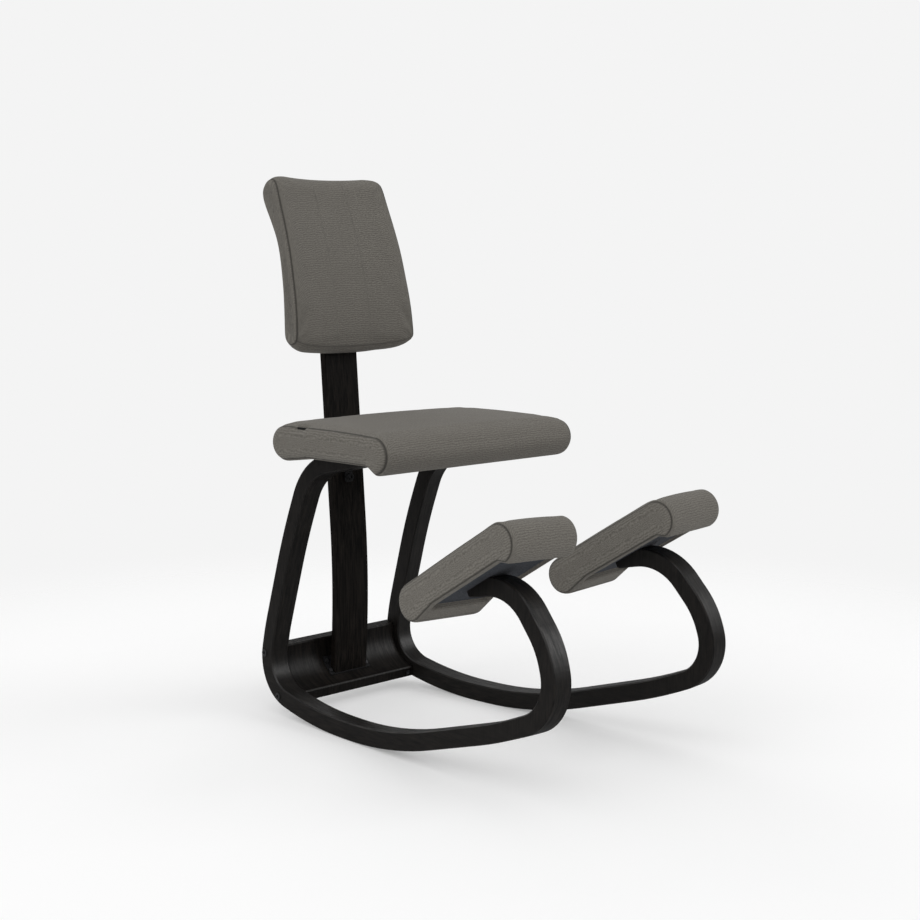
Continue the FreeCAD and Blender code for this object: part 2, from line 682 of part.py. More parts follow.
panel_band = heel_band(
    "panel", "heel_radius", "heel_radius - panel_thickness", "panel_high", "panel_low", "half_track")
doc.recompute()
panel_edges = []
for number, edge in enumerate(panel_band.Shape.Edges, start=1):
    if edge.BoundBox.XLength > size("half_track") and edge.BoundBox.DiagonalLength - edge.BoundBox.XLength < 1:
        panel_edges.append((number, size("runner_edge"), size("runner_edge")))
panel_bevelled = doc.addObject("Part::Chamfer", "panel_bevelled")
panel_bevelled.Base = panel_band
panel_bevelled.Edges = panel_edges

beside_panel = box(
    "beside_panel", "half_track", "heel_radius * 4", "heel_radius * 4",
    runner_frame * FreeCAD.Placement(
        vector(across(1) - size("half_track"), -size("heel_radius * 2"), -size("heel_radius")),
        FreeCAD.Rotation()))
beside_panel_twin = mirrored("beside_panel_twin", beside_panel)

BARREL_DEPTH = 0.8
barrels = []
for number, (edge_angle, bolt_angle) in enumerate((
        (size("panel_high"), size("frame_bolt_high")), (size("panel_low"), size("frame_bolt_low"))), start=1):
    rim = round_heel(panel_middle, edge_angle)
    inward = (round_heel(panel_middle, bolt_angle) - rim).normalize()
    origin = rim + inward * BARREL_DEPTH + ALONG_X * (across(1) + size("barrel_inset"))
    place = runner_frame * FreeCAD.Placement(origin, turned_to(inward))
    barrel = stud("barrel_%d" % number, "barrel_radius", "barrel_length", place)
    drill = hole(
        "barrel_drill_%d" % number, "frame_bolt_radius", FRAME_BOLT_LENGTH,
        runner_frame * frame_bolt_places[number - 1])
    seat_of_barrel = stud("barrel_seat_%d" % number, "barrel_radius", "barrel_length + 1", place)
    seat_of_barrel.Placement = runner_frame * FreeCAD.Placement(origin - inward, turned_to(inward))
    barrels.append((cut("barrel_%d_bored" % number, barrel, [drill]), seat_of_barrel))

panel_drills = []
for number, place in enumerate(frame_bolt_places, start=1):
    drill = hole("panel_hole_%d" % number, "frame_bolt_radius + fit", FRAME_BOLT_LENGTH, runner_frame * place)
    panel_drills.append(drill)
panel_drills += [seat_of_barrel for barrel, seat_of_barrel in barrels]
panel_drills = both(panel_drills)

node("barrel_nuts", *both([barrel for barrel, seat_of_barrel in barrels]))


# Back post on its steel foot plate

post_path = path_sketch("post_path", POST_PATH)
post_strip = strip("post_strip", post_path, "post_thickness", "post_width", "post_edge")

below_post = heel_band(
    "below_post", "heel_radius * 2", "heel_radius - panel_thickness - foot_plate", "-20", "130", "half_track")
below_tab = heel_band(
    "below_tab", "heel_radius * 2", "heel_radius - panel_thickness - foot_plate / 2", "-20", "130", "half_track")

post_foot_tilt = math.degrees(math.atan2(size("post_foot_y - post_waist_y"), size("post_waist_z")))
foot_frame = FreeCAD.Placement(
    vector(0, size("post_foot_y"), 0), FreeCAD.Rotation(ALONG_X, post_foot_tilt))
post_frame = FreeCAD.Placement(
    vector(0, size("post_waist_y"), size("post_waist_z")), FreeCAD.Rotation(ALONG_X, -size("post_lean")))

plate_band = heel_band(
    "foot_plate", "heel_radius - panel_thickness", "heel_radius - panel_thickness - foot_plate",
    "foot_plate_high", "foot_plate_low", "foot_plate_half")
tab_blank = box(
    "foot_tab", "2 * foot_tab_half", "foot_plate", "heel_z + foot_tab_height",
    foot_frame * FreeCAD.Placement(
        vector(-size("foot_tab_half"), size("post_thickness"), 0), FreeCAD.Rotation()))
tab = cut("foot_tab_cut", tab_blank, [below_tab])
plate_blank = fused("foot_plate_blank", [plate_band, tab])

foot_screw_places = []
plate_top = size("heel_radius - panel_thickness - foot_plate")
for angle in (size("foot_screw_high"), size("foot_screw_low")):
    for side in (-1, 1):
        origin = round_heel(plate_top, angle) + ALONG_X * (side * size("foot_screw_x"))
        foot_screw_places.append(FreeCAD.Placement(origin, turned_to(heel_outward(angle) * -1)))
tab_screw_places = []
tab_screw_z = size("heel_z + foot_tab_height - 14")
for side in (-1, 1):
    origin = vector(side * size("foot_tab_half / 2"), size("post_thickness + foot_plate"), tab_screw_z)
    tab_screw_places.append(foot_frame * FreeCAD.Placement(origin, turned_to(ALONG_Y)))

foot_screws, foot_drills = [], []
for number, place in enumerate(foot_screw_places, start=1):
    foot_screws.append(bolt("foot_screw_%d" % number, "screw", "screw_length", place))
    foot_drills.append(hole("foot_drill_%d" % number, "screw_radius + fit", "screw_length + fit", place))
tab_screws, tab_drills = [], []
for number, place in enumerate(tab_screw_places, start=1):
    tab_screws.append(bolt("tab_screw_%d" % number, "screw", "screw_length", place))
    tab_drills.append(hole("tab_drill_%d" % number, "screw_radius + fit", "screw_length + fit", place))

node("cross_member", cut(
    "cross_member_cut", panel_bevelled,
    [beside_panel, beside_panel_twin] + panel_drills + foot_drills))
node("post_foot_plate", cut("foot_plate_cut", plate_blank, foot_drills + tab_drills))
node("foot_screws", *foot_screws)
node("tab_screws", *tab_screws)

to_front = turned_to(ALONG_Y * -1)
post_bolt_height = size("(post_bolt_z - post_waist_z) / cos(post_lean)")
post_bolt_place = post_frame * FreeCAD.Placement(
    vector(0, -size("bracket"), post_bolt_height), to_front)
POST_BOLT_LENGTH = "bracket + post_thickness + washer + post_nut + 1.5"
post_bolt = bolt("post_bolt_piece", "post_bolt", POST_BOLT_LENGTH, post_bolt_place, socket=True)
post_bolt_hole = hole("post_bolt_hole", "post_bolt_radius + fit", POST_BOLT_LENGTH, post_bolt_place)

back_board_foot = size("(back_low + back_board_low - post_waist_z) / cos(post_lean)")
back_bolt_places = []
for number in (0, 1):
    rise = back_board_foot + size("back_bolt_low + %d * back_bolt_pitch" % number)
    back_bolt_places.append(post_frame * FreeCAD.Placement(
        vector(0, size("post_thickness"), rise), turned_to(ALONG_Y)))
BACK_BOLT_LENGTH = "post_thickness + back_board_cover + back_board * 0.8"
back_bolts, back_drills = [], []
for number, place in enumerate(back_bolt_places, start=1):
    back_bolts.append(bolt("back_bolt_%d" % number, "pad_bolt", BACK_BOLT_LENGTH, place))
    back_drills.append(hole("back_drill_%d" % number, "pad_bolt_radius + fit", BACK_BOLT_LENGTH, place))

post = cut("back_post_cut", post_strip, [below_post, post_bolt_hole] + tab_drills + back_drills)
node("back_post", post)
node("post_bolt", post_bolt)

behind_post = post_frame * FreeCAD.Placement(
    vector(0, size("post_thickness"), post_bolt_height), turned_to(ALONG_Y))
washer_blank = stud("washer_blank", "washer_radius", "washer", behind_post)
node("post_washer", cut("washer_cut", washer_blank, [post_bolt_hole]))
nut_blank = doc.addObject("Part::Prism", "nut_blank")
nut_blank.Polygon = 6
bind(nut_blank, Circumradius="post_nut_radius", Height="post_nut")
nut_blank.Placement = behind_post * FreeCAD.Placement(ALONG_Z * size("washer"), FreeCAD.Rotation())
nut_bore = hole("nut_bore", "post_bolt_radius", POST_BOLT_LENGTH, post_bolt_place)
node("post_nut", cut("nut_cut", nut_blank, [nut_bore]))


# Bracket that ties the seat board to the post

bracket_plate = box(
    "bracket_plate", "2 * bracket_half", "bracket_reach - 50", "bracket",
    FreeCAD.Placement(
        vector(
            -size("bracket_half"), size("seat_rear_y - bracket_reach"), size("seat_plane - bracket")),
        FreeCAD.Rotation()))
leg_foot = size("(post_bolt_z - post_waist_z) / cos(post_lean) - leg_below_bolt")
bracket_leg = box(
    "bracket_leg", "2 * bracket_leg_half", "bracket",
    "(seat_plane - post_bolt_z) / cos(post_lean) + leg_below_bolt - fit",
    post_frame * FreeCAD.Placement(
        vector(-size("bracket_leg_half"), -size("bracket"), leg_foot), FreeCAD.Rotation()))
ARM_START = "seat_rear_y - bracket_reach / 2 - 5"
bracket_arm = box(
    "bracket_arm", "2 * bracket_leg_half",
    "post_waist_y + (seat_plane - post_waist_z) * tan(post_lean) - bracket / 2 - (%s)" % ARM_START, "bracket",
    FreeCAD.Placement(
        vector(-size("bracket_leg_half"), size(ARM_START), size("seat_plane - bracket")),
        FreeCAD.Rotation()))
bracket_blank = fused("bracket_blank", [bracket_plate, bracket_arm, bracket_leg])

bracket_screw_places = []
for side in (-1, 1):
    origin = vector(
        side * size("bracket_half / 2"), size("seat_rear_y - bracket_reach + 25"),
        size("seat_plane - bracket"))
    bracket_screw_places.append(FreeCAD.Placement(origin, from_below))
bracket_screws, bracket_drills = [], []
for number, place in enumerate(bracket_screw_places, start=1):
    bracket_screws.append(bolt("bracket_screw_%d" % number, "screw", "screw_length + bracket", place))
    bracket_drills.append(hole(
        "bracket_drill_%d" % number, "screw_radius + fit", "screw_length + bracket + fit", place))
bracket = cut("bracket_cut", bracket_blank, [post_bolt_hole] + bracket_drills)
node("seat_bracket", bracket)
node("bracket_screws", *bracket_screws)


# Boards, liners, nuts and cushions

def lift(placement, height):
    """A placement moved along its own Z."""
    return placement * FreeCAD.Placement(ALONG_Z * height, FreeCAD.Rotation())


def pad_parts(kind, frame):
    """Board, liner and cushion of one pad; the frame's origin is the rear nose, on the runners' flat."""
    rear = size("board_margin")
    board_place = frame * FreeCAD.Placement(
        vector(-size(kind + "_board_half"), rear - size(kind + "_depth"), size("liner")), FreeCAD.Rotation())
    board_blank = box(
        kind + "_board_blank", "2 * %s_board_half" % kind, "%s_depth - 2 * board_margin" % kind,
        kind + "_board", board_place)
    liner_half = kind + "_half_width - liner_margin"
    inner_rear = "2 * %s_rear_roll" % kind
    inner_front = "%s_front_roll + %s_front_run" % (kind, kind)
    liner_place = frame * FreeCAD.Placement(
        vector(-size(liner_half), size("%s - %s_depth" % (inner_front, kind)), 0), FreeCAD.Rotation())
    liner_length = "%s_depth - (%s) - (%s)" % (kind, inner_front, inner_rear)
    liner_blank = box(
        kind + "_liner_blank", "2 * (%s)" % liner_half, liner_length, "liner", liner_place)
    recess = box(
        kind + "_recess", "2 * (%s)" % liner_half, liner_length, "liner + %s_hem + %s_roll_drop" % (kind, kind),
        lift(liner_place, -size("%s_hem + %s_roll_drop" % (kind, kind))))
    return board_blank, liner_blank, recess


seat_frame = FreeCAD.Placement(vector(0, size("seat_rear_y"), size("seat_plane")), FreeCAD.Rotation())
board, liner, recess = pad_parts("seat", seat_frame)
SEAT_BOLT_LENGTH = "web_under_head + liner + seat_board * 0.8"
seat_bolts, seat_shanks = [], []
for number, place in enumerate(seat_bolt_places, start=1):
    seat_bolts.append(bolt("seat_bolt_%d" % number, "pad_bolt", SEAT_BOLT_LENGTH, place))
    seat_shanks.append(hole(
        "seat_shank_%d" % number, "pad_bolt_radius + fit", SEAT_BOLT_LENGTH + " + fit", place))
seat_shanks = both(seat_shanks) + bracket_drills
node("seat_board", cut("seat_board_cut", board, seat_shanks))
node("seat_liner", cut("seat_liner_cut", liner, seat_shanks))
node("seat_bolts", *both(seat_bolts))

zip_place = FreeCAD.Placement(
    vector(
        -size("seat_half_width") - 1.5, size("seat_rear_y - zip_inset"),
        size("seat_plane - seat_hem - seat_roll_drop + 2 * seat_rear_roll - draw_in") - 3),
    FreeCAD.Rotation())
zip_slider = box("zip_blank", "4", "zip_length", "3", zip_place)
node("zip_slider", zip_slider)

seat_form = solid("seat_form", pad_cushion("seat", (0, 0.6, 1)), seat_frame)
node("seat_cushion", cut(
    "seat_cushion_cut", seat_form, [recess, board, bracket_blank, zip_slider]))

knee_pad_frame = runner_frame * knee_frame * FreeCAD.Placement(
    vector(0, size("knee_overhang"), 0), FreeCAD.Rotation())
knee_places = [runner_frame * place for place in knee_bolt_places]
board, liner, recess = pad_parts("knee", knee_pad_frame)
KNEE_BOLT_LENGTH = "web_under_head + liner + knee_board * 0.8"
knee_bolts, knee_shanks = [], []
for number, place in enumerate(knee_places, start=1):
    knee_bolts.append(bolt("knee_bolt_%d" % number, "pad_bolt", KNEE_BOLT_LENGTH, place))
    knee_shanks.append(hole(
        "knee_shank_%d" % number, "pad_bolt_radius + fit", KNEE_BOLT_LENGTH + " + fit", place))
node_pair("knee_board", cut("knee_board_cut", board, knee_shanks))
node_pair("knee_liner", cut("knee_liner_cut", liner, knee_shanks))
node("knee_bolts", *both(knee_bolts))
knee_form = solid("knee_form", pad_cushion("knee", (0, 1)), knee_pad_frame)
node_pair("knee_cushion", cut("knee_cushion_cut", knee_form, [recess, board]))


# Back rest

back_board = box(
    "back_board_blank", "2 * back_board_half", "back_board", "back_board_height",
    post_frame * FreeCAD.Placement(
        vector(-size("back_board_half"), -size("back_board_cover + back_board"), back_board_foot),
        FreeCAD.Rotation()))
node("back_board", cut("back_board_cut", back_board, back_drills))
node("back_bolts", *back_bolts)

post_channel = box(
    "post_channel", "post_width", "post_thickness * 2",
    "(post_top - post_waist_z) / cos(post_lean) + post_thickness * sin(post_lean)",
    post_frame * FreeCAD.Placement(vector(-size("post_width") / 2, 0, 0), FreeCAD.Rotation()))
back_form = solid("back_form", back_cushion_form())
node("back_cushion", cut(
    "back_cushion_cut", back_form, [post_channel, back_board] + back_drills))


# Finish: check every piece, move the origin under the chair's middle, write the files

doc.recompute()
bounds = FreeCAD.BoundBox()
for piece in nodes:
    bounds.add(piece.Shape.BoundBox)
shift = FreeCAD.Placement(
    vector(-bounds.Center.x, -bounds.Center.y, -bounds.ZMin), FreeCAD.Rotation())
for piece in nodes:
    piece.Placement = shift
doc.recompute()

for thing in doc.Objects:
    if "Invalid" in thing.State or "Error" in thing.State:
        raise ValueError("%s did not build" % thing.Label)
for piece in nodes:
    if piece.Shape.isNull() or not piece.Shape.isValid():
        raise ValueError("%s has no sound shape" % piece.Label)

os.makedirs("parts", exist_ok=True)
for piece in nodes:
    piece.Shape.exportStep("parts/%s.step" % piece.Label)
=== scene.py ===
import math

import bmesh
import bpy
from mathutils import Matrix, Vector


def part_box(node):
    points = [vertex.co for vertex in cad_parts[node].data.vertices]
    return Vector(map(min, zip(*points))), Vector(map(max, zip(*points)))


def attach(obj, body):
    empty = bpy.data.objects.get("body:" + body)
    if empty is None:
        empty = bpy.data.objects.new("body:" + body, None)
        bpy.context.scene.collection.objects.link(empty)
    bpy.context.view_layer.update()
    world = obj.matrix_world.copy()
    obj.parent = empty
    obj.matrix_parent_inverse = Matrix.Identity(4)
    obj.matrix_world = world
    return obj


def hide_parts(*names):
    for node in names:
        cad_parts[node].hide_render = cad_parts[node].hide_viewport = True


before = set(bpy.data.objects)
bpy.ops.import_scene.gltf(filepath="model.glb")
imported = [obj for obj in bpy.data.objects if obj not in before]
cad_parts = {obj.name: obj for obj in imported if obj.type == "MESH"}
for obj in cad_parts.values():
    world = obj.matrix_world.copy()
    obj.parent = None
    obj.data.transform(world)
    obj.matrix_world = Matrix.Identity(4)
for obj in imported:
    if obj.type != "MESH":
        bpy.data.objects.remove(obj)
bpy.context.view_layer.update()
scene = bpy.context.scene

# Rocking kneeling chair, in metres. The rigid pieces come from the frame and get their finishes here.
# The four cushions are built here, each in place of its plain solid.

MM = 0.001


# Node helpers. A value is a number, a colour of three channels, or the output of another node.

# numbers of the Mix node's sockets for colours, because its other sockets have the same names
MIX_FACTOR, MIX_A, MIX_B, MIX_RESULT = 0, 6, 7, 2


def set_inputs(node, values):
    for key, value in values.items():
        node.inputs[key].default_value = value


def add_node(tree, kind, inputs=None, **settings):
    """Node with its settings and input values."""
    node = tree.nodes.new(kind)
    for key, value in settings.items():
        setattr(node, key, value)
    set_inputs(node, inputs or {})
    return node


def new_material(name):
    """Material whose tree has a principled shader, linked to the output."""
    material = bpy.data.materials.new(name)
    material.use_nodes = True
    tree = material.node_tree
    tree.nodes.clear()
    output = tree.nodes.new("ShaderNodeOutputMaterial")
    shader = tree.nodes.new("ShaderNodeBsdfPrincipled")
    tree.links.new(shader.outputs["BSDF"], output.inputs["Surface"])
    return material, tree, shader


def rgba(value):
    """Four channels from a grey level or a colour."""
    return (*value, 1) if isinstance(value, tuple) else (value, value, value, 1)


def feed(tree, socket, value):
    """Link a node's output to the socket, or set the socket to a number or colour."""
    if isinstance(value, bpy.types.NodeSocket):
        tree.links.new(value, socket)
    else:
        socket.default_value = rgba(value) if isinstance(value, tuple) else value


def coordinates(tree, kind="Object"):
    return add_node(tree, "ShaderNodeTexCoord").outputs[kind]


def one_axis(tree, vector, axis):
    parts = add_node(tree, "ShaderNodeSeparateXYZ")
    tree.links.new(vector, parts.inputs["Vector"])
    return parts.outputs[axis]


def noise(tree, scale, detail, roughness=0.55, place=None):
    """Noise with its own scale along each axis, over object coordinates unless a place is given."""
    mapping = add_node(tree, "ShaderNodeMapping", {"Scale": scale})
    tree.links.new(coordinates(tree) if place is None else place, mapping.inputs["Vector"])
    node = add_node(tree, "ShaderNodeTexNoise", {"Scale": 1.0, "Detail": detail, "Roughness": roughness})
    tree.links.new(mapping.outputs["Vector"], node.inputs["Vector"])
    return node.outputs["Fac"]


def ramp(tree, fac, low, high, start, end):
    """Fac spread over start to end and turned into a value or colour from low to high."""
    node = add_node(tree, "ShaderNodeValToRGB")
    tree.links.new(fac, node.inputs["Fac"])
    for element, position, value in zip(node.color_ramp.elements, (start, end), (low, high)):
        element.position = position
        element.color = rgba(value)
    return node.outputs["Color"]


def math_node(tree, operation, *values):
    node = add_node(tree, "ShaderNodeMath", operation=operation)
    for socket, value in zip(node.inputs, values):
        feed(tree, socket, value)
    return node.outputs["Value"]


def weighted_sum(tree, *terms):
    """Sum of values, each times its weight."""
    total = None
    for value, weight in terms:
        part = math_node(tree, "MULTIPLY", value, weight)
        total = part if total is None else math_node(tree, "ADD", total, part)
    return total


def mix_colour(tree, factor, first, second):
    node = add_node(tree, "ShaderNodeMix", data_type="RGBA")
    for number, value in ((MIX_FACTOR, factor), (MIX_A, first), (MIX_B, second)):
        feed(tree, node.inputs[number], value)
    return node.outputs[MIX_RESULT]


def mix_shaders(tree, factor, first, second):
    mix = tree.nodes.new("ShaderNodeMixShader")
    for socket, value in zip(mix.inputs, (factor, first, second)):
        tree.links.new(value, socket)
    return mix.outputs["Shader"]


def bump(tree, shader, height, strength, distance):
    node = add_node(tree, "ShaderNodeBump", {"Strength": strength, "Distance": distance})
    tree.links.new(height, node.inputs["Height"])
    tree.links.new(node.outputs["Normal"], shader.inputs["Normal"])


# Materials. A noise scale counts the features in a metre along X, Y and Z, so grain runs where it is lowest.

GRAIN_ALONG = (340, 26, 26)  # faces of the bent strips and the cross member
GRAIN_UP = (340, 340, 12)  # the post
LAYERS_LEVEL = (1, 30, 360)
LAYERS_UPRIGHT = (1, 360, 30)
ROCKER_TOP = (0.05, 0.12)  # height over which the edges' layers turn from level to upright
SIDEWAYS = 0.75  # a face turned further to the side than this is a laminated edge
WOOD_DARK = (0.0018, 0.0014, 0.0012)
WOOD_LIGHT = (0.018, 0.0146, 0.0122)
WOOD_CLOUD = (0.0056, 0.0046, 0.004)

RIPPLE = 4.0 * MM  # distance between the ripples of the cloth
WANDER = 11.0  # how far the ripples stray, in radians of their wave
SEAM_SHADE_DEPTH = 0.3  # painted shade in the seam's groove: its colour, as a share of the cloth's dark one

PLY_DARK = (0.42, 0.28, 0.16)
PLY_LIGHT = (0.68, 0.52, 0.34)


def stained_wood(name, stretch, gloss):
    """Black-stained veneer: long fine pores and streaks along the grain, under a satin lacquer.

    The laminated edges, which face sideways, show their layers: level on the rocker, upright above it.
    """
    material, tree, shader = new_material(name)
    streaks = noise(tree, stretch, 5, 0.7)
    level = noise(tree, LAYERS_LEVEL, 4, 0.65)
    upright = noise(tree, LAYERS_UPRIGHT, 4, 0.65)
    rise = ramp(tree, one_axis(tree, coordinates(tree), "Z"), 0.0, 1.0, *ROCKER_TOP)
    layers = mix_colour(tree, rise, level, upright)
    facing = math_node(tree, "ABSOLUTE", one_axis(tree, coordinates(tree, "Normal"), "X"))
    edge = math_node(tree, "GREATER_THAN", facing, SIDEWAYS)
    grain = mix_colour(tree, edge, streaks, ramp(tree, layers, 0.38, 0.62, 0.3, 0.7))
    cloud = ramp(tree, noise(tree, (9, 9, 9), 2), 0.0, 0.35, 0.35, 0.7)
    colour = ramp(tree, grain, WOOD_DARK, WOOD_LIGHT, 0.4, 0.66)
    tree.links.new(mix_colour(tree, cloud, colour, WOOD_CLOUD), shader.inputs["Base Color"])
    tree.links.new(ramp(tree, grain, 0.5, 0.3, 0.36, 0.66), shader.inputs["Roughness"])
    set_inputs(shader, {"Specular IOR Level": gloss})
    bump(tree, shader, grain, 0.45, 0.6 * MM)
    return material


def wool_cloth(name, light, dark, has_weave):
    """Fine crepe weave: broken ripples of yarn, and a darker line of painted shade along each seam's groove,
    where a vertex attribute marks it.

    Cushions carry a weave attribute, their place along and across the cloth in metres.
    """
    material, tree, shader = new_material(name)
    if has_weave:
        place = add_node(tree, "ShaderNodeAttribute", attribute_name="weave").outputs["Vector"]
    else:
        place = coordinates(tree)
    wobble = noise(tree, (95, 70, 95), 2, place=place)
    phase = weighted_sum(tree, (one_axis(tree, place, "Y"), 2 * math.pi / RIPPLE), (wobble, WANDER))
    ripple = math_node(tree, "MULTIPLY_ADD", math_node(tree, "SINE", phase), 0.5, 0.5)
    broken = noise(tree, (290, 520, 520), 1, 0.5, place)
    yarn = noise(tree, (1300, 1300, 1300), 1, place=place)
    height = weighted_sum(tree, (ripple, 0.2), (broken, 0.65), (yarn, 0.15))
    colour = mix_colour(tree, ramp(tree, height, 0.0, 1.0, 0.34, 0.66), dark, light)
    mottle = ramp(tree, noise(tree, (32, 32, 32), 3), 0.0, 0.14, 0.4, 0.65)
    colour = mix_colour(tree, mottle, colour, dark)
    # painted shade: the cloth darkens along each seam's groove, towards a deeper copy of its dark colour
    seam_shade = add_node(tree, "ShaderNodeAttribute", attribute_name="seam_shade").outputs["Fac"]
    deep = tuple(channel * SEAM_SHADE_DEPTH for channel in dark)
    colour = mix_colour(tree, math_node(tree, "MULTIPLY", seam_shade, 0.8), colour, deep)
    tree.links.new(colour, shader.inputs["Base Color"])
    set_inputs(shader, {
        "Roughness": 0.92,
        "Specular IOR Level": 0.15,
        "Sheen Weight": 0.06,
        "Sheen Roughness": 0.5,
    })
    bump(tree, shader, height, 0.8, 1.2 * MM)
    return material


def painted_steel(name, colour, roughness, metallic):
    """Hard smooth finish with fine handling marks in its colour and gloss."""
    material, tree, shader = new_material(name)
    marks = noise(tree, (350, 350, 350), 4)
    worn = tuple(channel * 1.35 for channel in colour)
    tone = mix_colour(tree, ramp(tree, marks, 0.0, 1.0, 0.35, 0.7), colour, worn)
    gloss = ramp(tree, marks, roughness * 1.25, roughness * 0.85, 0.3, 0.7)
    tree.links.new(tone, shader.inputs["Base Color"])
    tree.links.new(gloss, shader.inputs["Roughness"])
    set_inputs(shader, {"Metallic": metallic})
    bump(tree, shader, marks, 0.12, 0.1 * MM)
    return material


def birch_ply(name):
    """Raw plywood with thin plies across its edges."""
    material, tree, shader = new_material(name)
    mixed = weighted_sum(tree, (noise(tree, (6, 6, 700), 1), 0.5), (noise(tree, (25, 420, 60), 4), 0.5))
    tree.links.new(ramp(tree, mixed, PLY_DARK, PLY_LIGHT, 0.35, 0.65), shader.inputs["Base Color"])
    set_inputs(shader, {"Roughness": 0.7})
    bump(tree, shader, mixed, 0.2, 0.3 * MM)
    return material


STRIP_WOOD = stained_wood("stained_wood_strip", GRAIN_ALONG, 0.5)
PANEL_WOOD = stained_wood("stained_wood_panel", GRAIN_ALONG, 0.22)
POST_WOOD = stained_wood("stained_wood_post", GRAIN_UP, 0.12)
CLOTH = wool_cloth("wool_cloth", (0.186, 0.175, 0.154), (0.111, 0.103, 0.091), True)
LINER = wool_cloth("liner_cloth", (0.05, 0.056, 0.068), (0.026, 0.029, 0.036), False)
BLACK_STEEL = painted_steel("black_steel", (0.012, 0.012, 0.013), 0.38, 0.2)
ZINC = painted_steel("dark_zinc", (0.11, 0.11, 0.115), 0.3, 0.9)
BIRCH = birch_ply("birch_ply")
BLACK_PLASTIC = painted_steel("black_plastic", (0.008, 0.008, 0.009), 0.3, 0.0)

NODE_FINISH = {
    "runner_right": STRIP_WOOD,
    "runner_left": STRIP_WOOD,
    "cross_member": PANEL_WOOD,
    "back_post": POST_WOOD,
    "frame_bolts": ZINC,
    "barrel_nuts": ZINC,
    "post_foot_plate": BLACK_STEEL,
    "foot_screws": ZINC,
    "tab_screws": BLACK_STEEL,
    "seat_bracket": BLACK_STEEL,
    "bracket_screws": BLACK_STEEL,
    "post_bolt": BLACK_STEEL,
    "post_washer": BLACK_STEEL,
    "post_nut": BLACK_STEEL,
    "seat_board": BIRCH,
    "seat_liner": LINER,
    "seat_bolts": BLACK_STEEL,
    "zip_slider": BLACK_PLASTIC,
    "knee_board_right": BIRCH,
    "knee_board_left": BIRCH,
    "knee_liner_right": LINER,
    "knee_liner_left": LINER,
    "knee_bolts": BLACK_STEEL,
    "back_board": BIRCH,
    "back_bolts": BLACK_STEEL,
}
for node_name, finish in NODE_FINISH.items():
    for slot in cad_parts[node_name].material_slots:
        slot.material = finish


# Cushions: rows of points round each pad, from one side panel's middle to the other's

EDGE_BAND = 14 * MM  # width over which a cushion's edge pulls in
EDGE_SHARES = (0.3, 0.47, 0.52, 0.66, 0.78, 0.88)  # where the rows lie in that width
DRAW_IN = 2.6 * MM  # how far it pulls in
GROOVE = 1.0 * MM  # depth of the seam groove
GROOVE_EDGE = 0.9 * MM  # from the cushion's width in to the groove's edge
GROOVE_FLOOR = 0.7 * MM  # and to its floor, where the side panel starts
STEP = 5 * MM  # distance between rows

PANEL_INSETS = [1.6 * MM, 3.2 * MM, 6 * MM, 10 * MM, 14 * MM]  # rows of a side panel, from its seam
PANEL_DOME = 2.5  # how soon a side panel reaches its full swell

RECESS_LIP = 0.4 * MM  # the step into the liner's recess
RECESS_SINK = 0.6  # how deep the cloth's underside lies in the liner, as a share of its thickness
END_CROWN = 0.6  # crown at the pad's rear and front, as a share of that at its middle

# points along a pad's rolled ends and its top, then underneath, from the front
ROLL_COUNT, TOP_COUNT = 26, 38
FRONT_COUNT, FLAT_COUNT, SLOPE_COUNT, REAR_COUNT = 5, 26, 8, 7

SEAM_SHADE_LINE = ((-1, 0.75), (0, 1.0), (1, 0.25))  # rows by the seam, and how dark the painted shade in its groove is there

SWELL_FRAMES = 20
SWELL_LIMIT = 2.0 * MM


class PadForm:
    """Sizes of a seat or knee cushion, given in millimetres, as the solid it replaces has them.

    The pad's frame has its origin at the rear, on the liner's underside, and the front faces -Y. A roll is
    the radius of a rolled end, which hangs below the flat underside by its drop and meets it after its run.
    """

    def __init__(self, **sizes):
        for name, value in sizes.items():
            setattr(self, name, value * MM)
        self.rear_low = -(self.hem + self.rear_drop)
        self.front_low = -(self.hem + self.front_drop)
        self.rear_y = -self.rear_roll
        self.rear_z = self.rear_low + self.rear_roll
        self.front_y = self.front_roll - self.depth
        self.front_z = self.front_low + self.front_roll


SEAT = PadForm(
    half=211, depth=286, rear_roll=31, front_roll=32.2, rear_run=64, front_run=20,
    rear_drop=8, front_drop=12.5, hem=4.5, arch=2.5, crown=4, margin=8, liner=1.5, bulge=10)
KNEE = PadForm(
    half=65, depth=286, rear_roll=31.2, front_roll=32, rear_run=46, front_run=14,
    rear_drop=8.7, front_drop=8.5, hem=5, arch=1, crown=1.2, margin=8, liner=1.5, bulge=4.5)


def share_of(value):
    """The value, kept between 0 and 1."""
    return min(max(value, 0), 1)


def arc_points(centre_y, centre_z, radius, start, end, count):
    """Points along an arc in degrees, without its end."""
    points = []
    for i in range(count):
        angle = math.radians(start + (end - start) * i / count)
        points.append((centre_y + radius * math.cos(angle), centre_z + radius * math.sin(angle)))
    return points


def run_points(start, end, count):
    """Points along a straight run, without its end."""
    points = []
    for i in range(count):
        share = i / count
        points.append((start[0] + (end[0] - start[0]) * share, start[1] + (end[1] - start[1]) * share))
    return points


